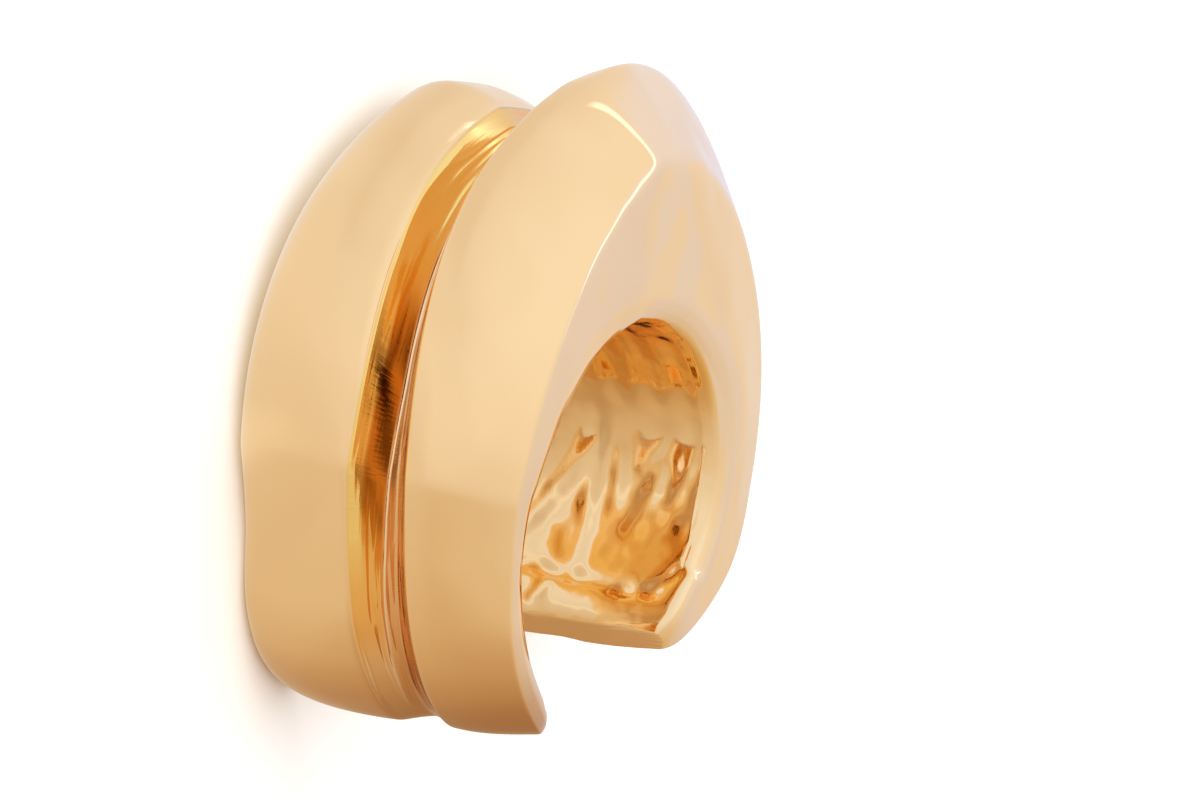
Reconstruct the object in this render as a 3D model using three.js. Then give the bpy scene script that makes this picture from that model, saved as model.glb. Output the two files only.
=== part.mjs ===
// A wide open cuff bracelet, cast in one piece of polished gold-coloured metal. Two swelling ridges run
// round the wrist with a deep groove between them: tall over the top of the wrist, thin at the two ends.
// It lies on its left side. +Z runs along the wrist, +Y is the top of the cuff, -Y the gap between its
// ends, and -X the arm that is heavier in front. Millimetres throughout.
import * as THREE from "three";

// Driving dimensions.
const WRIST_ACROSS = 58; // the oval wrist opening, side to side
const WRIST_DEEP = 48; // the oval wrist opening, top to gap
const LAND = -0.4; // the left side's control points stand this far below the flat it is ground to
const CREST_SHARE = 0.38; // where the right ridge's crest stands between its lip and the right side
const INSIDE_POINTS = 5; // control points across the inside of the band
const REFINEMENTS = 2; // how often the control net is smoothed

// One row per section of the band, from the front end over the top to the back end. Places across the
// band count from its left side; heights stand on the inner oval.
//   at: the direction the wall faces, in degrees from the top; turn: how far the section skews from it
//   end: how far the section is drawn in, to round an end; inner: height of the inner wall
//   side: the left side's outer edge; crest, lip, floor, lip, crest: the two ridges and the groove
//   shoulder, bevel: the corner of the right side and the bevel round the wrist opening
//   zLeft, zFloor, zRight, zSide: places of the two lips, the groove's floor and the right side
//   fold: how crisply the outside is creased across the band at this section
const COLUMNS = [
  "at", "turn", "end", "inner", "side", "leftCrest", "leftLip", "floor", "rightLip", "rightCrest",
  "shoulder", "bevel", "zLeft", "zFloor", "zRight", "zSide", "fold",
];
const ROWS = [
  [-154.8, 0, 2, 1.5, 3.5, 7, 7, 5.5, 6.5, 7, 6, 4.5, 17, 21, 24.5, 36, 0],
  [-152.8, 0, 0.9, 1.5, 3.5, 7.5, 7.5, 5.5, 7, 7.5, 6, 4.5, 17, 21, 24.5, 36, 0],
  [-147, 0, 0, 1.5, 4, 8, 8, 5.5, 8, 8, 6.5, 5, 17, 21, 24.5, 36.5, 0],
  [-134, 0, 0, 1.5, 5, 9.5, 9, 5.5, 9, 9, 7, 5, 17, 21, 24.5, 36.5, 0],
  [-116, 0, 0, 0.5, 4, 9.5, 10, 4.5, 9.5, 9, 6.5, 4.5, 17, 21.5, 24.5, 36.5, 0],
  [-99, 0, 0, 0, 1.2, 6.8, 10, 4, 10, 9.5, 5.5, 4, 17, 21.5, 24.5, 36.5, 0],
  [-78.5, -6, 0, -0.5, 5.5, 12.5, 12.5, 4, 12, 13, 6, 3.5, 17, 21, 24.5, 36.8, 0.85],
  [-58, 0, 0, -1.3, 9, 19.2, 15.2, 6.5, 15.5, 15.5, 7, 2.7, 16.8, 20.5, 23.8, 37.2, 0],
  [-38, 0, 0, -1.5, 12, 25, 20.5, 12, 21.5, 19.5, 9.5, 2.5, 17, 20, 23.3, 37.2, 0],
  [-20, 0, 0, -1, 13, 27.3, 23, 17, 25, 23, 14, 2.5, 16.8, 19.8, 23.3, 37, 0],
  [-4, 6, 0, -0.6, 14, 29, 25, 20, 28.3, 28.5, 19.5, 2.8, 16, 19.5, 23.8, 36.8, 0.85],
  [14, 0, 0, 0, 13, 30, 26, 20, 34, 37, 22, 3, 15.5, 19.5, 23.8, 36.8, 0.1],
  [34, 0, 0, 1, 11, 26, 23, 17, 30, 35, 23, 4.5, 15, 19.5, 23.5, 36.8, 0],
  [58, 0, 0, 1.2, 9, 18, 17, 12, 21, 27, 21.5, 6, 15, 19.5, 23, 36.8, 0],
  [84, 0, 0, 0.2, 7, 14, 13, 9, 16, 22, 17.7, 3.5, 15, 19.5, 23, 36.8, 0],
  [108, 0, 0, -1.2, 5, 11, 11, 7, 12, 14, 12, 2, 15, 19.5, 23, 36.3, 0],
  [128, 0, 0, -2.4, 4, 7.3, 7.3, 5.8, 7.8, 7.8, 5.5, 0.8, 15, 19.5, 23, 36, 0],
  [139, 0, 1, -2.8, 3.5, 5.5, 5.5, 5, 6, 6, 4.2, 0.5, 15, 19.5, 23, 36, 0],
  [142, 0, 2.4, -2.8, 3.5, 5.5, 5.5, 5, 6, 6, 4.2, 0.5, 15, 19.5, 23, 36, 0],
];
const SECTIONS = ROWS.map((row) => Object.fromEntries(COLUMNS.map((name, i) => [name, row[i]])));

const radians = (degrees) => (degrees * Math.PI) / 180;

// The point of the inner oval whose wall faces a direction, raised by a height along that direction.
function onWall(at, height) {
  const a = WRIST_ACROSS / 2;
  const b = WRIST_DEEP / 2;
  const facing = [Math.sin(radians(at)), Math.cos(radians(at))];
  const reach = Math.hypot(a * facing[0], b * facing[1]);
  return [((a * a) / reach + height) * facing[0], ((b * b) / reach + height) * facing[1]];
}

// The closed control polygon of one section: over the outside from left to right, then back inside.
function sectionPoints(s) {
  const outside = [
    { z: LAND, h: s.inner + 1.2 },
    { z: LAND, h: (s.inner + s.side + 1) / 2 },
    { z: LAND, h: s.side + 0.5 },
    { z: 1.8, h: s.side + (s.leftCrest - s.side) * 0.6 },
    { z: s.zLeft / 2, h: s.leftCrest },
    { z: s.zLeft, h: s.leftLip, sharp: 0.85 },
    { z: s.zFloor, h: s.floor, sharp: 0.45 },
    { z: s.zRight, h: s.rightLip, sharp: 0.85 },
    { z: s.zRight + (s.zSide - s.zRight) * CREST_SHARE, h: s.rightCrest },
    { z: s.zSide - 0.3, h: s.shoulder, sharp: 0.9 },
    { z: s.zSide, h: s.bevel, sharp: 0.85 },
    { z: s.zSide - 0.3, h: s.inner + 1, sharp: 0.3 },
  ];
  const inside = Array.from({ length: INSIDE_POINTS }, (_, i) => {
    const share = i / (INSIDE_POINTS - 1);
    return { z: (s.zSide - 1.8) * (1 - share) + 1.6 * share, h: s.inner };
  });
  const middle = (s.inner + s.leftCrest) / 2;
  const drawn = (2 * s.end) / (s.leftCrest - s.inner);
  return [...outside, ...inside].map(({ z, h, sharp = 0 }) => {
    const height = h + (middle - h) * drawn;
    const across = z + (s.zSide - 2 * z) * (s.end / s.zSide);
    const direction = s.at + s.turn * (across / s.zSide - 0.5);
    return { point: [...onWall(direction, height), across], sharp, fold: h > s.inner ? s.fold : 0 };
  });
}

// A point between others, by weight; it keeps the sharpness of the first.
function blend(points, weights) {
  const point = [0, 1, 2].map((axis) => points.reduce((sum, p, i) => sum + p.point[axis] * weights[i], 0));
  return { ...points[0], point };
}

// One step of cubic B-spline smoothing of a row of points. A sharp point stays nearer its place.
function smooth(points, closed, sharpness) {
  const made = [];
  const count = points.length;
  points.forEach((here, i) => {
    const before = points[closed ? (i + count - 1) % count : Math.max(i - 1, 0)];
    const after = points[closed ? (i + 1) % count : Math.min(i + 1, count - 1)];
    const atEnd = !closed && (i === 0 || i === count - 1);
    const stay = atEnd ? 1 : sharpness(here);
    const pull = (1 - stay) / 8;
    made.push(blend([here, before, after], [1 - 2 * pull, pull, pull]));
    if (closed || i < count - 1) {
      const halfway = blend([here, after], [0.5, 0.5]);
      made.push({ ...halfway, sharp: (here.sharp + after.sharp) / 2, fold: (here.fold + after.fold) / 2 });
    }
  });
  return made;
}

const transpose = (grid) => grid[0].map((_, k) => grid.map((row) => row[k]));

// The net of all the sections, smoothed along each section and from section to section.
function smoothNet() {
  let net = SECTIONS.map(sectionPoints);
  for (let step = 0; step < REFINEMENTS; step++) {
    net = net.map((section) => smooth(section, true, (p) => p.sharp));
    const lines = transpose(net).map((line) => smooth(line, false, (p) => p.fold));
    net = transpose(lines);
  }
  return net.map((section) => section.map(({ point: [x, y, z] }) => [x, y, Math.max(z, 0)]));
}

// The closed skin over the net: bands of quads between sections, and a fan over each end.
function skin(net) {
  const ring = net[0].length;
  const places = net.flat();
  const faces = [];
  for (let i = 0; i < net.length - 1; i++) {
    for (let k = 0; k < ring; k++) {
      const next = (k + 1) % ring;
      const [a, b, c, d] = [i * ring + k, i * ring + next, (i + 1) * ring + next, (i + 1) * ring + k];
      faces.push(a, c, d, a, b, c);
    }
  }
  for (const [row, turned] of [[0, false], [net.length - 1, true]]) {
    const middle = places.length;
    places.push([0, 1, 2].map((axis) => net[row].reduce((sum, p) => sum + p[axis], 0) / ring));
    for (let k = 0; k < ring; k++) {
      const pair = [row * ring + ((k + 1) % ring), row * ring + k];
      faces.push(middle, ...(turned ? pair.reverse() : pair));
    }
  }
  const geometry = new THREE.BufferGeometry();
  geometry.setAttribute("position", new THREE.Float32BufferAttribute(places.flat(), 3));
  geometry.setIndex(faces);
  return geometry;
}

// The origin is the middle of the space the cuff takes up, on the surface it lies on.
const body = skin(smoothNet());
body.computeBoundingBox();
const { min, max } = body.boundingBox;
body.translate(-(min.x + max.x) / 2, -(min.y + max.y) / 2, -min.z);
body.computeVertexNormals();

const gold = new THREE.MeshStandardMaterial({ color: 0xf0cf9a, roughness: 0.12, metalness: 1 });
const cuff = new THREE.Mesh(body, gold);
cuff.name = "cuff";

const bracelet = new THREE.Group();
bracelet.name = "cuff_bracelet";
bracelet.add(cuff);
export default bracelet;
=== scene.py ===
# %% [markdown]
# # A gold cuff bracelet
# The bracelet is one piece of cast metal, polished to a mirror: an open band with two swelling
# ridges, a deep groove between them, and a gap between its thin ends. It lies on its left side.
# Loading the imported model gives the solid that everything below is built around. Its size is an
# estimate from a usual wrist opening: nobody measured a real cuff.

# %% Load the solid
import math

import bmesh
import bpy
from mathutils import Matrix, Vector


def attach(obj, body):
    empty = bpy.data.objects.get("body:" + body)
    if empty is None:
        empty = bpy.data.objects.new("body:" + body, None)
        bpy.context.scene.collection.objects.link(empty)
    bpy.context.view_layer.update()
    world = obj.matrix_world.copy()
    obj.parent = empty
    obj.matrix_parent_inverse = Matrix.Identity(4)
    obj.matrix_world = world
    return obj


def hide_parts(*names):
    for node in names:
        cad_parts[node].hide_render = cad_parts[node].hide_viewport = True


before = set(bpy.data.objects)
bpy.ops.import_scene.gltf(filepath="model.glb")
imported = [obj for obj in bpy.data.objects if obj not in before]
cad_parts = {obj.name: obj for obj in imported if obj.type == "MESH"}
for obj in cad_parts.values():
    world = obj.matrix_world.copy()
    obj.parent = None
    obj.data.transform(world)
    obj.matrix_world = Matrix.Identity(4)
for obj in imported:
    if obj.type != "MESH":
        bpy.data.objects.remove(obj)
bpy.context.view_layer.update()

MM = 0.001
scene = bpy.context.scene

# %% [markdown]
# ## Places on the band
# The band is wrapped round an oval wrist opening, so a place on it is easiest to say as a
# *direction* from the oval's middle (0 degrees is the top of the cuff, positive towards the back
# arm), a *place across* the band from its left side, and a *height* over the oval's wall. X, Y and
# Z would do as well, but every line along the band would then be a curve to work out.

# %% The oval of the wrist opening
OPENING_ACROSS = 58 * MM
OPENING_DEEP = 48 * MM
OPENING_MIDDLE = Vector((-3.61, -14.52, 0)) * MM
BAND_WIDTH = 36 * MM
WALL_RADIUS = 26.5 * MM  # the oval's mean radius: turns degrees along the wall into millimetres


def oval_wall(direction):
    """The point of the oval whose wall faces a direction in degrees, and that direction."""
    a, b = OPENING_ACROSS / 2, OPENING_DEEP / 2
    facing = Vector((math.sin(math.radians(direction)), math.cos(math.radians(direction)), 0))
    reach = math.hypot(a * facing.x, b * facing.y)
    return OPENING_MIDDLE + Vector((a * a * facing.x, b * b * facing.y, 0)) / reach, facing


print("top of the oval, mm:", [round(v / MM, 1) for v in oval_wall(0)[0]])


# %% From a point to its place on the band
def band_place(point):
    """Direction in degrees, place across and height over the oval, of a point of the band."""
    a, b = OPENING_ACROSS / 2, OPENING_DEEP / 2
    offset = point - OPENING_MIDDLE
    direction = math.degrees(math.atan2(offset.x / a**2, offset.y / b**2))
    for _ in range(6):
        wall, facing = oval_wall(direction)
        slip = (point - wall).dot(Vector((facing.y, -facing.x, 0)))
        height = (point - wall).dot(facing)
        direction += math.degrees(slip / (WALL_RADIUS + height))
    return direction, point.z, height


print("the back arm's wall faces, degrees:", round(band_place(OPENING_MIDDLE + Vector((OPENING_ACROSS, 0, 0)))[0]))

# %% [markdown]
# ## The metal's skin
# The solid is faceted, and a mirror shows every facet. A second model could be drawn by hand, but
# it would drift from the first. Instead a copy of the solid is merged into one connected skin,
# and its triangles are joined back into the even grid of quads they came from.
# Quads matter here: subdividing triangles leaves small dimples that a mirror makes plain to see.

# %% Merge the solid and join its triangles into quads
skin = bmesh.new()
skin.from_mesh(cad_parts["cuff"].data)
bmesh.ops.remove_doubles(skin, verts=skin.verts, dist=0.001 * MM)
bmesh.ops.join_triangles(skin, faces=skin.faces, angle_face_threshold=math.pi,
                         angle_shape_threshold=math.pi, topology_influence=2.0)
print("quads", sum(len(face.verts) == 4 for face in skin.faces), "of", len(skin.faces), "faces")

# %% [markdown]
# ## Crisp folds
# Where an edge folds more sharply than the edges beside it, the solid has a crease. Creases could
# be picked by hand, but comparing each edge with its two neighbours finds them by one rule. They
# are kept crisp in the first smoothing step. The second one, left live on the finished piece,
# rounds them a little, so that they don't look cut.

# %% Mark the edges to keep crisp
FOLD_ANGLE = math.radians(3)
FOLD_CONTRAST = 1.6  # how many times sharper than its neighbours an edge folds


def neighbour_angle(edge, face):
    """The fold angle of the edge on the far side of a quad."""
    far = [e for e in face.edges if not set(e.verts) & set(edge.verts)]
    return far[0].calc_face_angle(0) if len(face.verts) == 4 else 1.0


crease = skin.edges.layers.float.new("crease_edge")
folds = 0
for edge in skin.edges:
    angle = edge.calc_face_angle(0)
    beside = sum(neighbour_angle(edge, face) for face in edge.link_faces) / 2
    if angle > FOLD_ANGLE and angle > FOLD_CONTRAST * beside:
        edge[crease] = 1.0
        folds += 1
print("edges kept crisp:", folds)


# %% Smooth the skin once
def smooth_once(mesh_object):
    """Applies one Subdivision Surface step to an object's mesh, and drops its creases."""
    step = mesh_object.modifiers.new("skin", "SUBSURF")
    step.levels = step.render_levels = 1
    step.boundary_smooth = "PRESERVE_CORNERS"
    evaluated = mesh_object.evaluated_get(bpy.context.evaluated_depsgraph_get())
    smoothed = bpy.data.meshes.new_from_object(evaluated)
    mesh_object.modifiers.remove(step)
    mesh_object.data = smoothed
    if "crease_edge" in smoothed.attributes:
        smoothed.attributes.remove(smoothed.attributes["crease_edge"])


cuff_mesh = bpy.data.meshes.new("polished_cuff")
skin.to_mesh(cuff_mesh)
skin.free()
cuff = bpy.data.objects.new("polished_cuff", cuff_mesh)
scene.collection.objects.link(cuff)
smooth_once(cuff)
print("skin after one smoothing:", len(cuff.data.polygons), "quads")

# %% [markdown]
# ## Dents inside and folds outside
# The outside of this cuff is smooth and its inside is slightly crumpled, perhaps because tools
# reach it less well. Each dent is a short trough: it runs from one place on the wall to another,
# with a width and a depth. A noise pattern would be quicker, but a table lets each trough lie
# where it should. The crisp fold over the top of the right ridge is
# made in the same way, raised instead of pressed.

# %% Where the dents and folds run
# direction, across, to direction, across, width, depth (degrees and mm)
INSIDE_DENTS = [
    (111, 10.5, 72, 19, 1.3, 0.40),
    (62, 19.5, 97, 18.6, 0.9, 0.30),
    (97, 18.6, 130, 19.5, 0.9, 0.28),
    (76, 22.4, 100, 22.6, 0.9, 0.22),
    (82, 25.5, 67, 28.8, 1.0, 0.28),
    (82, 28.2, 92, 27.6, 1.2, 0.28),
    (98, 28.8, 102, 28.6, 1.1, 0.22),
    (64, 33, 80, 31.8, 1.1, 0.28),
    (80, 31.8, 95, 30.4, 1.0, 0.25),
    (94, 26.8, 108, 25.6, 1.1, 0.28),
    (102, 32.4, 107, 32.2, 1.0, 0.20),
    (110, 17, 124, 17.6, 1.1, 0.25),
    (128, 16.8, 138, 15.4, 0.9, 0.25),
    (22, 17, 52, 18, 1.4, 0.30),
    (25, 23, 55, 22.5, 1.3, 0.32),
    (20, 28, 56, 27.5, 1.3, 0.35),
    (28, 32.5, 58, 32, 1.1, 0.28),
    (-30, 12, 10, 14, 2.0, 0.30),
    (-70, 24, -35, 22, 2.0, 0.30),
    (-110, 14, -80, 18, 1.8, 0.30),
    (-125, 26, -95, 27, 1.6, 0.30),
]
FOLD_NEAR_END = [
    (126, 10, 127, 15, 1.2, 0.40),
    (127, 15, 131, 27, 1.2, 0.45),
    (131, 27, 130, 31, 1.2, 0.45),
    (130, 31, 120, 34, 1.1, 0.40),
]
TOP_FOLD = [
    (-9.5, 25, -7, 28.5, 1.3, 0.30),
    (-7, 28.5, -3.5, 33, 1.3, 0.35),
    (-3.5, 33, -1, 35.5, 1.2, 0.30),
]
print("dents:", len(INSIDE_DENTS) + len(FOLD_NEAR_END), "and", len(TOP_FOLD), "stretches of the top fold")


# %% How deep a trough is, and where the inside is
def trough_depth(direction, across, trough):
    """How deep a trough is at a place on the wall."""
    d1, z1, d2, z2, width, depth = trough
    scale = math.radians(1) * WALL_RADIUS / MM
    start = Vector((d1 * scale, z1))
    along = Vector(((d2 - d1) * scale, z2 - z1))
    offset = Vector((direction * scale, across / MM)) - start
    share = min(max(offset.dot(along) / along.length_squared, 0), 1)
    distance = (offset - along * share).length
    return depth * MM * math.exp(-((distance / width) ** 2))


def inside_share(place, outward):
    """1 on the inner wall, falling to 0 at its rims and on the outside."""
    _, across, height = place
    facing_in = min(max(-outward * 2 - 0.5, 0), 1)
    from_rim = min(across, BAND_WIDTH - across) / (3 * MM)
    return facing_in * min(max(from_rim, 0), 1) * min(max(2.5 - height / MM, 0), 1)


def dent_depth(place, outward):
    """How far the dents press the inner wall outwards."""
    share = inside_share(place, outward)
    if share == 0:
        return 0
    return share * sum(trough_depth(place[0], place[1], t) for t in INSIDE_DENTS + FOLD_NEAR_END)


def top_fold_rise(place, outward):
    """How far the fold over the right ridge's top raises the outside."""
    if abs(place[0]) >= 20 or outward <= 0.2:
        return 0
    return max(trough_depth(place[0], place[1], fold) for fold in TOP_FOLD)


print("deepest dent's middle, mm:", round(trough_depth(127, 15 * MM, FOLD_NEAR_END[1]) / MM, 2))

# %% [markdown]
# ## The right side's facet and the soft rim
# The broad right side isn't one plane. Past a line down its length it leans outwards by a few
# degrees, and round the wrist opening it falls away in a soft bevel. Both are small tilts, so they
# are written as a line along the band and a slope from it, which keeps the even grid of quads. A
# cut with a plane would put edges across that grid.

# %% Tilt the right side and its rim
# direction (degrees) and the height (mm) that the tilt starts from
SIDE_FACET = [(4, 24), (8, 20.4), (16, 18.0), (22, 14.2), (28, 12.6), (44, 9.5), (70, 7.8), (100, 6.5)]
RIM_BEVEL = [(-156, 4.5), (-99, 4), (-78, 3.5), (-58, 2.7), (-20, 2.5), (14, 3), (34, 4.5), (58, 6),
             (84, 3.5), (108, 2)]
SIDE_LEAN = 0.14  # slope of the facet
RIM_FALL = 0.18  # slope of the bevel


def along_table(table, at):
    """Reads a table of (direction, value) rows between its rows."""
    for (d1, v1), (d2, v2) in zip(table, table[1:]):
        if at <= d2:
            share = min(max((at - d1) / (d2 - d1), 0), 1)
            return v1 + (v2 - v1) * share
    return table[-1][1]


def side_lean(place, outward):
    """How far the facet lowers a point of the right side."""
    direction, across, height = place
    if not 4 < direction < 110 or across <= 25 * MM or outward <= -0.5:
        return 0
    beyond = height / MM - along_table(SIDE_FACET, direction)
    fade = min((direction - 4) / 4, (110 - direction) / 20, 1) * min((across / MM - 25) / 10, 1)
    return SIDE_LEAN * fade * min(max(beyond, 0), 9) * MM


def rim_fall(place):
    """How far the bevel round the opening lowers a point of the right side."""
    direction, across, height = place
    if not -150 < direction < 120 or across <= 34 * MM:
        return 0
    below = along_table(RIM_BEVEL, direction) - height / MM
    return RIM_FALL * min(max(below, 0), 3) * MM


print("bevel's depth at the top, mm:", round(rim_fall((0, BAND_WIDTH, 0)) / MM, 2))

# %% Shape the skin
shaped = bmesh.new()
shaped.from_mesh(cuff.data)
shaped.normal_update()
moves = []
deepest = 0
for vert in shaped.verts:
    place = band_place(vert.co)
    _, facing = oval_wall(place[0])
    outward = vert.normal.dot(facing)
    dent = dent_depth(place, outward)
    tilt = side_lean(place, outward) + rim_fall(place)
    moves.append(vert.normal * top_fold_rise(place, outward) + facing * dent - Vector((0, 0, tilt)))
    deepest = max(deepest, dent)
for vert, move in zip(shaped.verts, moves):
    vert.co += move
shaped.to_mesh(cuff.data)
shaped.free()
print("deepest dent, mm:", round(deepest / MM, 2))

# %% [markdown]
# ## Areas for the finish
# The finish isn't the same all over: the ridges are smooth, the groove carries fine lines and the
# inside is less even. How each was really worked is a guess. Painting the areas by hand would tie
# them to one shape. Instead each point stores how far inside it is and how far past the groove's
# lips and floor, so that the finish follows the shape.

# %% Store the areas on the mesh
# places across the band (mm) by direction (degrees)
LEFT_LIP = [(-156, 17), (-38, 17), (-4, 16), (34, 15), (142, 15)]
GROOVE_FLOOR = [(-156, 19.4), (-99, 20.1), (-58, 20.1), (-20, 19.6), (142, 19.5)]
RIGHT_LIP = [(-156, 24.5), (-78, 24.5), (-38, 23.3), (-4, 23.8), (34, 23.4), (142, 23)]

areas = {"inside": [], "past_lip": [], "past_floor": [], "before_bank": []}
around = []
for vert in cuff.data.vertices:
    direction, across, height = band_place(vert.co)
    _, facing = oval_wall(direction)
    areas["inside"].append(min(max((-vert.normal.dot(facing) - 0.25) / 0.5, 0), 1))
    areas["past_lip"].append(across / MM - along_table(LEFT_LIP, direction))
    areas["past_floor"].append(across / MM - along_table(GROOVE_FLOOR, direction))
    areas["before_bank"].append(along_table(RIGHT_LIP, direction) - across / MM)
    around += [math.radians(direction) * WALL_RADIUS, across, height]
for name, values in areas.items():
    cuff.data.attributes.new(name, "FLOAT", "POINT").data.foreach_set("value", values)
cuff.data.attributes.new("around", "FLOAT_VECTOR", "POINT").data.foreach_set("vector", around)
in_groove_band = sum(a > 0 and b > 0 for a, b in zip(areas["past_lip"], areas["before_bank"]))
print("points between the lips:", in_groove_band)

# %% Leave the last smoothing live
for polygon in cuff.data.polygons:
    polygon.use_smooth = True
last_smoothing = cuff.modifiers.new("skin", "SUBSURF")
last_smoothing.levels = last_smoothing.render_levels = 1
print("smoothing steps left live:", len(cuff.modifiers))

# %% [markdown]
# ## Small tools for nodes
# A finish is a chain of nodes. Each could be made and wired by hand in four or five lines. A few
# helpers make a step in one line instead: each takes what feeds the node, as a (node, output)
# pair or a fixed value, and gives back its own (node, output) pair for the next step.


# %% Plugs, sums and groups
def plug(tree, node, socket, source):
    """Links a (node, output) pair into a socket, or sets the socket to a fixed value."""
    if isinstance(source, tuple) and isinstance(source[0], bpy.types.Node):
        tree.links.new(source[0].outputs[source[1]], node.inputs[socket])
    else:
        node.inputs[socket].default_value = source


def arithmetic(tree, operation, *sources):
    """A Math node."""
    node = tree.nodes.new("ShaderNodeMath")
    node.operation = operation
    for socket, source in enumerate(sources):
        plug(tree, node, socket, source)
    return node, 0


def vector_step(tree, operation, *sources):
    """A Vector Math node; a dot product comes out as a number."""
    node = tree.nodes.new("ShaderNodeVectorMath")
    node.operation = operation
    for socket, source in enumerate(sources):
        plug(tree, node, socket, source)
    return node, "Value" if operation == "DOT_PRODUCT" else 0


def new_group(name, inputs, outputs):
    """An empty shader node group with its named sockets."""
    group = bpy.data.node_groups.new(name, "ShaderNodeTree")
    for kind, direction in ((inputs, "INPUT"), (outputs, "OUTPUT")):
        for socket_name, (socket_type, default) in kind.items():
            socket = group.interface.new_socket(socket_name, in_out=direction, socket_type=socket_type)
            if default is not None:
                socket.default_value = default
    return group, group.nodes.new("NodeGroupInput"), group.nodes.new("NodeGroupOutput")


def use_group(tree, group, **sources):
    """Places a node group and feeds its named inputs."""
    node = tree.nodes.new("ShaderNodeGroup")
    node.node_tree = group
    for socket, source in sources.items():
        plug(tree, node, socket, source)
    return node


# %% Ramps, edges and layers
def smooth_range(tree, source, start, end):
    """Runs smoothly from 0 to 1 as the source goes from one value to another."""
    node = tree.nodes.new("ShaderNodeMapRange")
    node.interpolation_type = "SMOOTHSTEP"
    for socket, value in (("Value", source), ("From Min", start), ("From Max", end)):
        plug(tree, node, socket, value)
    return node, 0


def color_ramp(tree, source, stops):
    """A Color Ramp from (position, colour) rows."""
    node = tree.nodes.new("ShaderNodeValToRGB")
    elements = node.color_ramp.elements
    while len(elements) > 1:
        elements.remove(elements[0])
    elements[0].position = stops[0][0]
    elements[0].color = (*stops[0][1], 1)
    for position, color in stops[1:]:
        elements.new(position).color = (*color, 1)
    plug(tree, node, 0, source)
    return node, 0


def layer(tree, below, share, tone, blend="MIX"):
    """Lays a tone over the colour below, as far as its share says."""
    node = tree.nodes.new("ShaderNodeMix")
    node.data_type = "RGBA"
    node.blend_type = blend
    for socket, source in ((0, share), (6, below), (7, tone)):
        plug(tree, node, socket, source)
    return node, 2


def noise(tree, place, scale, detail, roughness=0.5):
    """A Noise Texture's grey value."""
    node = tree.nodes.new("ShaderNodeTexNoise")
    for socket, source in (("Vector", place), ("Scale", scale), ("Detail", detail), ("Roughness", roughness)):
        plug(tree, node, socket, source)
    return node, 0


# %% [markdown]
# ## Finish groups
# Working metal by hand can leave traces: broad, shallow waves where it was polished, fine lines
# along a groove where it was brushed, and separate streaks where a file bit deeper. Each trace is
# a node group with named inputs, built once and used at several sizes and strengths.

# %% Uneven polish: broad, shallow waves
uneven_polish, take, give = new_group(
    "uneven_polish",
    {"Place": ("NodeSocketVector", None), "Size": ("NodeSocketFloat", 90.0), "Amount": ("NodeSocketFloat", 1.0)},
    {"Height": ("NodeSocketFloat", None)},
)
waves = noise(uneven_polish, (take, "Place"), (take, "Size"), 1.0, 0.4)
plug(uneven_polish, give, "Height", arithmetic(uneven_polish, "MULTIPLY", waves, (take, "Amount")))
print("group:", uneven_polish.name)

# %% Brush lines: fine marks that run along the groove
LINE_STRETCH = (120, 3200, 900)  # long along the band, fine across it

brush_lines, take, give = new_group(
    "brush_lines",
    {"Place": ("NodeSocketVector", None), "Area": ("NodeSocketFloat", 0.0), "Amount": ("NodeSocketFloat", 1.0)},
    {"Height": ("NodeSocketFloat", None), "Mask": ("NodeSocketFloat", None)},
)
stretch = brush_lines.nodes.new("ShaderNodeMapping")
plug(brush_lines, stretch, "Vector", (take, "Place"))
plug(brush_lines, stretch, "Scale", LINE_STRETCH)
lines = arithmetic(brush_lines, "MULTIPLY", noise(brush_lines, (stretch, 0), 1.0, 3.0), (take, "Area"))
plug(brush_lines, give, "Mask", lines)
plug(brush_lines, give, "Height", arithmetic(brush_lines, "MULTIPLY", lines, (take, "Amount")))
print("group:", brush_lines.name)

# %% Groove streaks: long marks with crisp sides
# Besides the filing marks, this mask also lays the groove's dark streaks of painted shade.
groove_streaks, take, give = new_group(
    "groove_streaks",
    {"Place": ("NodeSocketVector", None), "Length": ("NodeSocketFloat", 70.0),
     "Fineness": ("NodeSocketFloat", 700.0), "Start": ("NodeSocketFloat", 0.5)},
    {"Mask": ("NodeSocketFloat", None)},
)
apart = groove_streaks.nodes.new("ShaderNodeSeparateXYZ")
plug(groove_streaks, apart, 0, (take, "Place"))
joined = groove_streaks.nodes.new("ShaderNodeCombineXYZ")
plug(groove_streaks, joined, 0, arithmetic(groove_streaks, "MULTIPLY", (apart, 0), (take, "Length")))
plug(groove_streaks, joined, 1, arithmetic(groove_streaks, "MULTIPLY", (apart, 1), (take, "Fineness")))
past_start = arithmetic(groove_streaks, "SUBTRACT", noise(groove_streaks, (joined, 0), 1.0, 2.0), (take, "Start"))
crisper = arithmetic(groove_streaks, "MULTIPLY", past_start, 5.0)
crisper[0].use_clamp = True
plug(groove_streaks, give, "Mask", crisper)
print("group:", groove_streaks.name)

# %% [markdown]
# ## Polished gold
# Gold, solid or plated, reflects red and yellow light and swallows blue. A surface seen by one
# reflection is pale gold, and light that has bounced between the groove's walls two or three
# times is more orange. A metallic Principled BSDF gives that by itself, so the material starts
# there. It isn't enough for this groove, and painted shade, reflections and highlights further
# down are laid over it.

# %% Start the gold material
GOLD = (1.0, 0.74, 0.42, 1.0)

gold = bpy.data.materials.new("polished_gold")
gold.use_nodes = True
tree = gold.node_tree
tree.nodes.clear()
shader = tree.nodes.new("ShaderNodeBsdfPrincipled")
output = tree.nodes.new("ShaderNodeOutputMaterial")
plug(tree, output, 0, (shader, 0))
plug(tree, shader, "Metallic", 1.0)
plug(tree, shader, "IOR", 1.45)
print("material:", gold.name)


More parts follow.
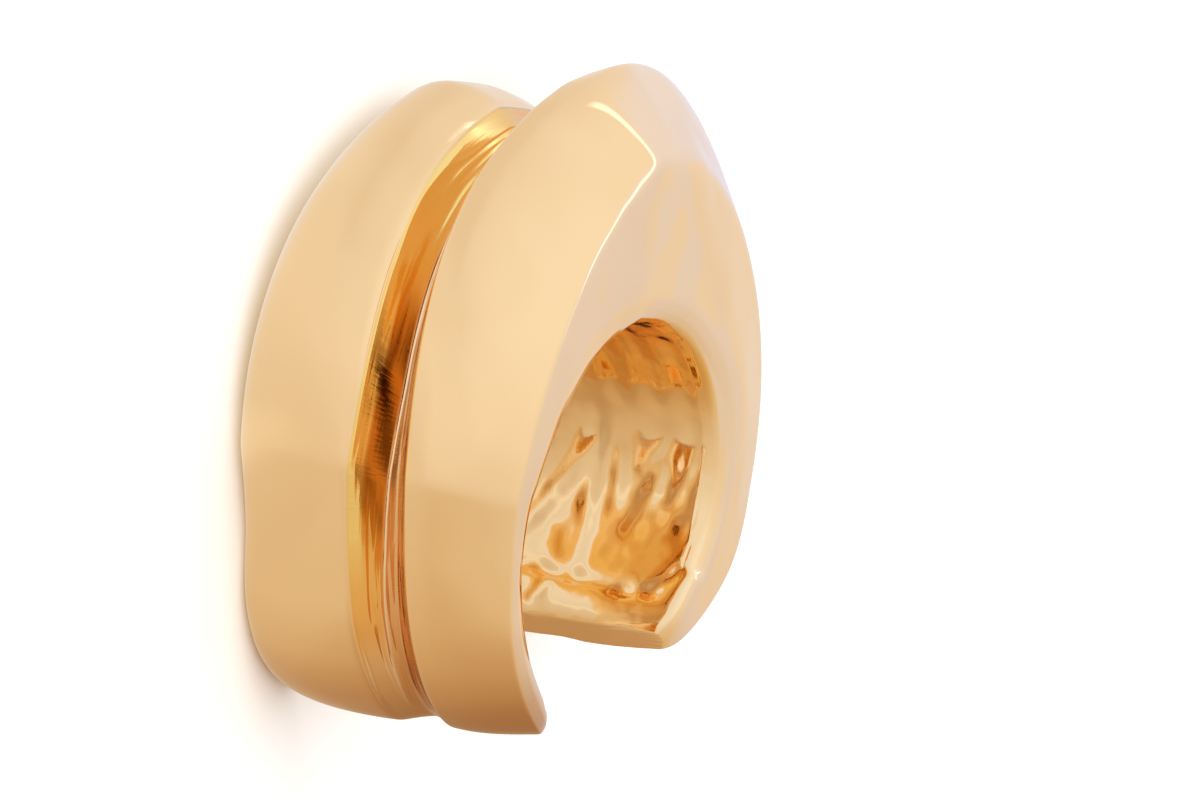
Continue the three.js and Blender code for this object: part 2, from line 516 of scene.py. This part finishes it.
# %% Read the stored areas
def stored(name, kind="Fac"):
    """An area stored on the mesh: a number, or a vector where asked for."""
    node = tree.nodes.new("ShaderNodeAttribute")
    node.attribute_name = name
    return node, kind


inside = stored("inside")
place = stored("around", "Vector")
object_place = (tree.nodes.new("ShaderNodeTexCoord"), "Object")
place_parts = tree.nodes.new("ShaderNodeSeparateXYZ")
plug(tree, place_parts, 0, place)
print("areas stored on the mesh:", [*areas, "around"])

# %% [markdown]
# ## Masks along and across the groove
# Two kinds of mask say where a tone belongs: a stretch along the band, which fades out at both
# ends, and a strip across it, which lies between two of the stored distances and has crisp sides.
# The groove's own strips stop short of the band's ends and never reach the inside.

# %% Masks by direction
BAND_START, BAND_SPAN = -156, 300  # degrees, from the front end to the back end
NONE, ALL = (0, 0, 0), (1, 1, 1)

along_share = arithmetic(tree, "MULTIPLY_ADD", (place_parts, 0),
                         1 / (math.radians(BAND_SPAN) * WALL_RADIUS), -BAND_START / BAND_SPAN)


def tones_along(rows):
    """Colours along the band, from (direction, colour) rows."""
    return color_ramp(tree, along_share, [((at - BAND_START) / BAND_SPAN, tone) for at, tone in rows])


def stretch_along(start, full, still, end):
    """A mask that is 1 along a stretch of the band and fades out past both its ends."""
    return tones_along([(start, NONE), (full, ALL), (still, ALL), (end, NONE)])


outside = arithmetic(tree, "SUBTRACT", 1.0, inside)
groove_run = arithmetic(tree, "MULTIPLY", stretch_along(-146, -136, 116, 126), outside)
# The deep stretch is where the groove's painted shade is darkest, and where the crossing tool marks lie.
deep_groove_stretch = stretch_along(-97, -79, -56, -40)
# This stretch holds the painted highlights along the lips.
highlight_stretch = stretch_along(-108, -94, -34, -18)
print("band, degrees:", BAND_START, "to", BAND_START + BAND_SPAN)


# %% Masks across the groove
def strip(near, near_edge, far, far_edge):
    """A mask where one stored distance is past its edge and another isn't past its own yet."""
    sides = [smooth_range(tree, stored(area), *edge) for area, edge in ((near, near_edge), (far, far_edge))]
    return arithmetic(tree, "MULTIPLY", arithmetic(tree, "MULTIPLY", *sides), groove_run)


left_wall = strip("past_lip", (0.0, 0.3), "past_floor", (0.2, -0.2))
right_bank = strip("past_floor", (-0.2, 0.2), "before_bank", (0.1, 0.5))
left_lip_strip = strip("past_lip", (0.0, 0.2), "past_lip", (1.45, 1.05))
right_lip_strip = strip("before_bank", (0.0, 0.12), "before_bank", (0.60, 0.42))
floor_strip = strip("past_floor", (-0.30, -0.05), "past_floor", (0.30, 0.05))
groove = arithmetic(tree, "MAXIMUM", left_wall, right_bank)
print("nodes in the gold material so far:", len(tree.nodes))

# %% [markdown]
# ## Gold tones: painted shade, reflections and highlights
# The groove is a deeper orange and brown than the open ridges. Light between its walls gives only
# part of that in this simple studio, so the rest is painted shade and painted reflection, set by
# place, and it stays there from every side. The ends carry painted shade and the inside painted
# reflections in the same way, and the lips and the groove's floor carry painted highlights. Dirt or
# wear could deepen real plate, but nothing shows that they did: these tones are there for the look.
# Each is laid over the last one through its mask, from the plain gold up to soft clouds.

# %% Painted shade and reflections by place along the band
# Painted shade and painted reflection: the groove's left wall turns deep orange and brown by direction, standing
# in for light bounced between the groove's walls.
WALL_PAINTED_SHADE = [
    (-130, (1.0, 0.74, 0.42)),
    (-118, (0.97, 0.56, 0.17)),
    (-102, (0.96, 0.55, 0.15)),
    (-88, (0.84, 0.42, 0.08)),
    (-60, (0.73, 0.27, 0.035)),
    (-46, (0.80, 0.33, 0.045)),
    (-37, (0.98, 0.66, 0.20)),
    (-26, (1.0, 0.77, 0.29)),
    (-12, (1.0, 0.71, 0.25)),
    (0, (0.92, 0.51, 0.13)),
    (144, (0.90, 0.46, 0.10)),
]
# Painted reflections: the inside is paler on the front arm and deeper orange over the top, standing in for what
# the wall mirrors and bounces.
INSIDE_PAINTED_REFLECTIONS = [
    (-156, (1.0, 0.85, 0.62)),
    (-60, (1.0, 0.84, 0.60)),
    (-20, (1.0, 0.72, 0.38)),
    (10, (0.98, 0.64, 0.22)),
    (45, (0.98, 0.62, 0.20)),
    (66, (1.0, 0.77, 0.46)),
    (82, (1.0, 0.77, 0.46)),
    (144, (1.0, 0.79, 0.49)),
]
# Painted shade: the band darkens and warms towards the front arm's end, standing in for the dim surroundings it
# would mirror there.
END_PAINTED_SHADE = [
    (-148, (0.66, 0.53, 0.44)),
    (-138, (0.74, 0.62, 0.53)),
    (-126, (0.93, 0.89, 0.85)),
    (-112, (1.0, 1.0, 1.0)),
]
print("tones along the band:", len(WALL_PAINTED_SHADE), len(INSIDE_PAINTED_REFLECTIONS), len(END_PAINTED_SHADE))

# %% Painted shade and highlights of the groove
# Painted shade: the groove's right bank is a deeper orange than plain gold.
BANK_PAINTED_SHADE = (0.90, 0.54, 0.25, 1.0)
# Painted shade: near-black streaks in the groove's deepest stretch.
PAINTED_SHADE_STREAK = (0.07, 0.024, 0.005, 1.0)
# Painted highlights: a bright yellow band just inside the left lip, and paler bands at the right lip and along the
# groove's floor.
LEFT_LIP_HIGHLIGHT = (1.0, 0.72, 0.25, 1)
RIGHT_LIP_HIGHLIGHT = (1.0, 0.84, 0.62, 1)
FLOOR_HIGHLIGHT = (1.0, 0.80, 0.56, 1)

streaks = use_group(tree, groove_streaks, Place=place, Start=0.465)
# The dark streaks are painted shade, laid only over the deep stretch of the groove.
painted_shade_streaks = arithmetic(tree, "MULTIPLY", (streaks, "Mask"), deep_groove_stretch)
# Painted shade and reflection on the groove's left wall.
color = layer(tree, GOLD, left_wall, tones_along(WALL_PAINTED_SHADE))
# Painted shade on the groove's right bank.
color = layer(tree, color, right_bank, BANK_PAINTED_SHADE)
color = layer(tree, color, arithmetic(tree, "MULTIPLY", painted_shade_streaks, groove), PAINTED_SHADE_STREAK)
# Painted highlights along the lips and the groove's floor.
color = layer(tree, color, arithmetic(tree, "MULTIPLY", left_lip_strip, highlight_stretch), LEFT_LIP_HIGHLIGHT)
color = layer(tree, color, arithmetic(tree, "MULTIPLY", right_lip_strip, highlight_stretch), RIGHT_LIP_HIGHLIGHT)
color = layer(tree, color, floor_strip, FLOOR_HIGHLIGHT)
print("nodes in the gold material so far:", len(tree.nodes))

# %% Painted shade of the ends, painted reflections inside, and the polish
CLOUD_TONE = (0.95, 0.91, 0.88, 1)
CLOUD_STRENGTH = 0.4

clouds = use_group(tree, uneven_polish, Place=object_place, Size=48.0)
cloud_share = smooth_range(tree, (clouds, "Height"), 0.46, 0.56)
# Painted shade at the front arm's end.
color = layer(tree, color, 1.0, tones_along(END_PAINTED_SHADE), "MULTIPLY")
# Painted reflections on the inside.
color = layer(tree, color, inside, tones_along(INSIDE_PAINTED_REFLECTIONS))
color = layer(tree, color, arithmetic(tree, "MULTIPLY", cloud_share, CLOUD_STRENGTH), CLOUD_TONE, "MULTIPLY")
plug(tree, shader, "Base Color", color)
print("base colour is linked:", shader.inputs["Base Color"].is_linked)

# %% [markdown]
# ## Relief and roughness
# The finest marks are too small to model, so they are bump: waves in the polish, ripples inside,
# and in the groove brush lines, filing marks along it and short tool marks across it. Roughness
# rises a little in the groove and inside, and stays low everywhere, because this is a mirror.

# %% Heights of the marks
waves = use_group(tree, uneven_polish, Place=object_place, Size=70.0, Amount=0.6)
ripples = use_group(tree, uneven_polish, Place=object_place, Size=320.0,
                    Amount=arithmetic(tree, "MULTIPLY", inside, 0.10))
brush = use_group(tree, brush_lines, Place=place, Area=groove, Amount=0.02)
filing = use_group(tree, groove_streaks, Place=place, Start=0.30, Length=45.0, Fineness=620.0)
crossing = use_group(tree, groove_streaks, Place=place, Start=0.42, Length=2300.0, Fineness=260.0)

crossing_marks = arithmetic(tree, "MULTIPLY", (crossing, "Mask"), deep_groove_stretch)
tool_marks = arithmetic(tree, "ADD", arithmetic(tree, "MULTIPLY", (filing, "Mask"), 0.22),
                        arithmetic(tree, "MULTIPLY", crossing_marks, 0.02))
height = arithmetic(tree, "ADD", (waves, "Height"), (ripples, "Height"))
height = arithmetic(tree, "ADD", height, (brush, "Height"))
height = arithmetic(tree, "ADD", height, arithmetic(tree, "MULTIPLY", tool_marks, groove))
print("nodes in the gold material so far:", len(tree.nodes))

# %% Bump and roughness
bump = tree.nodes.new("ShaderNodeBump")
plug(tree, bump, "Strength", 1.0)
plug(tree, bump, "Distance", 1.0 * MM)
plug(tree, bump, "Height", height)
plug(tree, shader, "Normal", (bump, 0))

roughness = arithmetic(tree, "MULTIPLY_ADD", (brush, "Mask"), 0.16, 0.045)
roughness = arithmetic(tree, "MULTIPLY_ADD", inside, 0.05, roughness)
plug(tree, shader, "Roughness", roughness)
print("links in the gold material:", len(tree.links))

# %% [markdown]
# ## The cuff takes the solid's place
# The polished skin rides on the cuff's only body and stands for the CAD solid, which stays
# hidden for the physics. It is the one piece of the object, and its finish is the polished gold.

# %% Hand the cuff over
cuff.data.materials.clear()
cuff.data.materials.append(gold)
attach(cuff, "root")
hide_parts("cuff")
print("piece:", cuff.name)

# %% [markdown]
# ## Floor
# The cuff lies on pale paper. A small sheet would show its edges in the metal, so this one is wide
# enough to fill the picture and to be mirrored all round.

# %% The floor
floor_mesh = bpy.data.meshes.new("floor")
sheet = bmesh.new()
bmesh.ops.create_grid(sheet, x_segments=1, y_segments=1, size=3.0)
sheet.to_mesh(floor_mesh)
sheet.free()
floor = bpy.data.objects.new("floor", floor_mesh)
scene.collection.objects.link(floor)
print("floor:", floor.name)

# %% [markdown]
# ## Surroundings
# A mirror shows its surroundings, so the studio is most of its look. Real cards and lamps round
# the cuff would do, but each would have hard edges to place. Here one group mixes the studio's
# tones from a direction: bright above the cuff's top, warm and dimmer towards its gap, cooler on
# the far side, with a soft glow from the open side, a pale card beyond it, and a low strip of light.

# %% Tones from the gap to the top
STUDIO_TONES = [
    # 0 straight below the gap, 1 straight above the top
    (0.00, (0.60, 0.42, 0.26)),
    (0.07, (0.67, 0.50, 0.32)),
    (0.18, (0.74, 0.60, 0.45)),
    (0.33, (0.78, 0.67, 0.54)),
    (0.50, (0.84, 0.77, 0.69)),
    (0.67, (0.90, 0.85, 0.81)),
    (0.85, (0.88, 0.84, 0.82)),
    (0.93, (0.85, 0.80, 0.77)),
    (1.00, (0.82, 0.76, 0.72)),
]
studio, take, give = new_group(
    "studio_tones",
    {"Direction": ("NodeSocketVector", None)},
    {"Color": ("NodeSocketColor", None)},
)
toward = vector_step(studio, "NORMALIZE", (take, "Direction"))
split = studio.nodes.new("ShaderNodeSeparateXYZ")
plug(studio, split, 0, toward)
level = (split, 1)
tone = color_ramp(studio, arithmetic(studio, "MULTIPLY_ADD", level, 0.5, 0.5), STUDIO_TONES)
print("studio tones:", len(STUDIO_TONES))


# %% Cards, glow and strip
def spot(tree, source, direction, inner, outer):
    """A mask round a direction: 1 within the inner angle, 0 outside the outer one."""
    near = vector_step(tree, "DOT_PRODUCT", source, Vector(direction).normalized())
    return smooth_range(tree, near, math.cos(math.radians(outer)), math.cos(math.radians(inner)))


below_back = spot(studio, toward, (0.5, -0.75, -0.43), 12, 44)
far_side = spot(studio, toward, (1, -0.1, 0.2), 36, 52)
glow = spot(studio, toward, (0.26, 0.64, 0.72), 0, 60)
far_card = spot(studio, toward, (0.98, -0.05, 0.15), 12, 14)
low_side = spot(studio, toward, (-0.3, -0.15, -0.93), 35, 60)
off_level = arithmetic(studio, "ABSOLUTE", arithmetic(studio, "ADD", level, 0.16))
low_strip = arithmetic(studio, "MULTIPLY", smooth_range(studio, off_level, 0.13, 0.02), low_side)

tone = layer(studio, tone, below_back, (0.80, 0.72, 0.66, 1), "MULTIPLY")
tone = layer(studio, tone, far_side, (0.97, 1.04, 1.34, 1), "MULTIPLY")
tone = layer(studio, tone, glow, (0.08, 0.11, 0.15, 1), "ADD")
tone = layer(studio, tone, far_card, (1.06, 1.00, 0.84, 1), "MULTIPLY")
tone = layer(studio, tone, low_strip, (0.14, 0.16, 0.17, 1), "ADD")
plug(studio, give, "Color", tone)
print("nodes in the studio group:", len(studio.nodes))

# %% [markdown]
# ## Pale paper
# White paper under a mirror would show as a white half with a horizon across the gold. The paper
# is therefore white to the camera, while to every other ray it is black and glows with the
# studio's tones, taken from the direction of the cuff's middle: a painted reflection of the studio
# that the gold shows in place of lit paper. The Light Path node tells the two kinds of ray apart.

# %% The paper's two faces
WHITE_PAPER = (0.95, 0.955, 0.96, 1)
BLACK = (0, 0, 0, 1)

paper = bpy.data.materials.new("pale_paper")
paper.use_nodes = True
paper_tree = paper.node_tree
paper_shader = paper_tree.nodes["Principled BSDF"]
to_camera = (paper_tree.nodes.new("ShaderNodeLightPath"), "Is Camera Ray")
where = (paper_tree.nodes.new("ShaderNodeTexCoord"), "Object")
from_cuff = vector_step(paper_tree, "SUBTRACT", where, (0, 0, BAND_WIDTH / 2))
mirrored = use_group(paper_tree, studio, Direction=from_cuff)

plug(paper_tree, paper_shader, "Base Color", layer(paper_tree, BLACK, to_camera, WHITE_PAPER))
# Painted reflection: the paper glows with the studio's tones for every ray but the camera's.
plug(paper_tree, paper_shader, "Emission Color", layer(paper_tree, (mirrored, "Color"), to_camera, BLACK))
plug(paper_tree, paper_shader, "Emission Strength", 1.0)
plug(paper_tree, paper_shader, "Roughness", 0.9)
plug(paper_tree, paper_shader, "Specular IOR Level", 0.0)
floor_mesh.materials.append(paper)
print("paper:", paper.name)

# %% [markdown]
# ## Sky
# The sky is the same studio, plus one narrow strip light over the open side. A long thin light is
# what makes a crisp highlight run along a fold in polished metal; a round one would make a dot.

# %% The sky and its strip light
STRIP_ACROSS = (-0.684, 0.314, 0.66)  # the strip lies square to this direction
STRIP_LIGHT = (0.55, 0.62, 0.75, 1)

world = bpy.data.worlds.new("studio")
scene.world = world
world.use_nodes = True
sky = world.node_tree
sky.nodes.clear()
look = vector_step(sky, "NORMALIZE", (sky.nodes.new("ShaderNodeTexCoord"), "Generated"))
sky_tones = use_group(sky, studio, Direction=look)
off_strip = arithmetic(sky, "ABSOLUTE", vector_step(sky, "DOT_PRODUCT", look, STRIP_ACROSS))
near_strip = spot(sky, look, (0.70, 0.50, 0.45), 21, 31)
strip_share = arithmetic(sky, "MULTIPLY", smooth_range(sky, off_strip, 0.07, 0.02), near_strip)

backdrop = sky.nodes.new("ShaderNodeBackground")
plug(sky, backdrop, 0, layer(sky, (sky_tones, "Color"), strip_share, STRIP_LIGHT, "ADD"))
plug(sky, sky.nodes.new("ShaderNodeOutputWorld"), 0, (backdrop, 0))
print("sky:", world.name)

# %% [markdown]
# ## Camera
# The cuff is seen across its front arm, turned a little to show the wrist opening. The angles are
# given about the cuff's own directions, so the camera stands above the floor that the cuff lies
# on and is rolled until the top of the cuff points up in the picture. Its angles and distance are
# estimates, and the lens is the one that then gives the cuff its size in the picture.

# %% The camera
TURN = math.radians(24)  # round from the front arm towards the right side
RISE = math.radians(17)  # up towards the top of the cuff
LEAN = math.radians(12.5)  # how far the cuff's top leans to the back arm
DISTANCE = 520 * MM
LENS = 125.6

top = Vector((-math.sin(LEAN), math.cos(LEAN), 0))
front = Vector((-math.cos(LEAN), -math.sin(LEAN), 0))
wrist = Vector((0, 0, 1))
back = (front * math.cos(TURN) + wrist * math.sin(TURN)) * math.cos(RISE) + top * math.sin(RISE)
right = wrist * math.cos(TURN) - front * math.sin(TURN)
up = back.cross(right)
aim = OPENING_MIDDLE + (wrist * 18 + right * 13 + up * 12) * MM

view_data = bpy.data.cameras.new("view")
view_data.lens = LENS
view_data.sensor_width = 36
camera = bpy.data.objects.new("view", view_data)
camera.matrix_world = Matrix.Translation(aim + back * DISTANCE) @ Matrix((right, up, back)).transposed().to_4x4()
scene.collection.objects.link(camera)
scene.camera = camera
print("camera height over the floor, mm:", round(camera.matrix_world.translation.z / MM))

# %% [markdown]
# ## Light on the paper
# The surroundings light the metal. The paper needs one lamp of its own to be white and to take a
# soft shadow. Its square face is hidden from mirrors, so no bright square shows in the gold.

# %% A soft lamp for the paper
LAMP_PLACE = Vector((-0.9, 0.5, 1.3))

lamp_data = bpy.data.lights.new("paper_light", "AREA")
lamp_data.shape = "SQUARE"
lamp_data.size = 1.4
lamp_data.energy = 22
lamp = bpy.data.objects.new("paper_light", lamp_data)
facing_cuff = (LAMP_PLACE - aim).to_track_quat("Z", "Y").to_matrix().to_4x4()
lamp.matrix_world = Matrix.Translation(LAMP_PLACE) @ facing_cuff
lamp.visible_glossy = False
scene.collection.objects.link(lamp)
scene.view_settings.view_transform = "Standard"
print("lamp:", lamp.name)
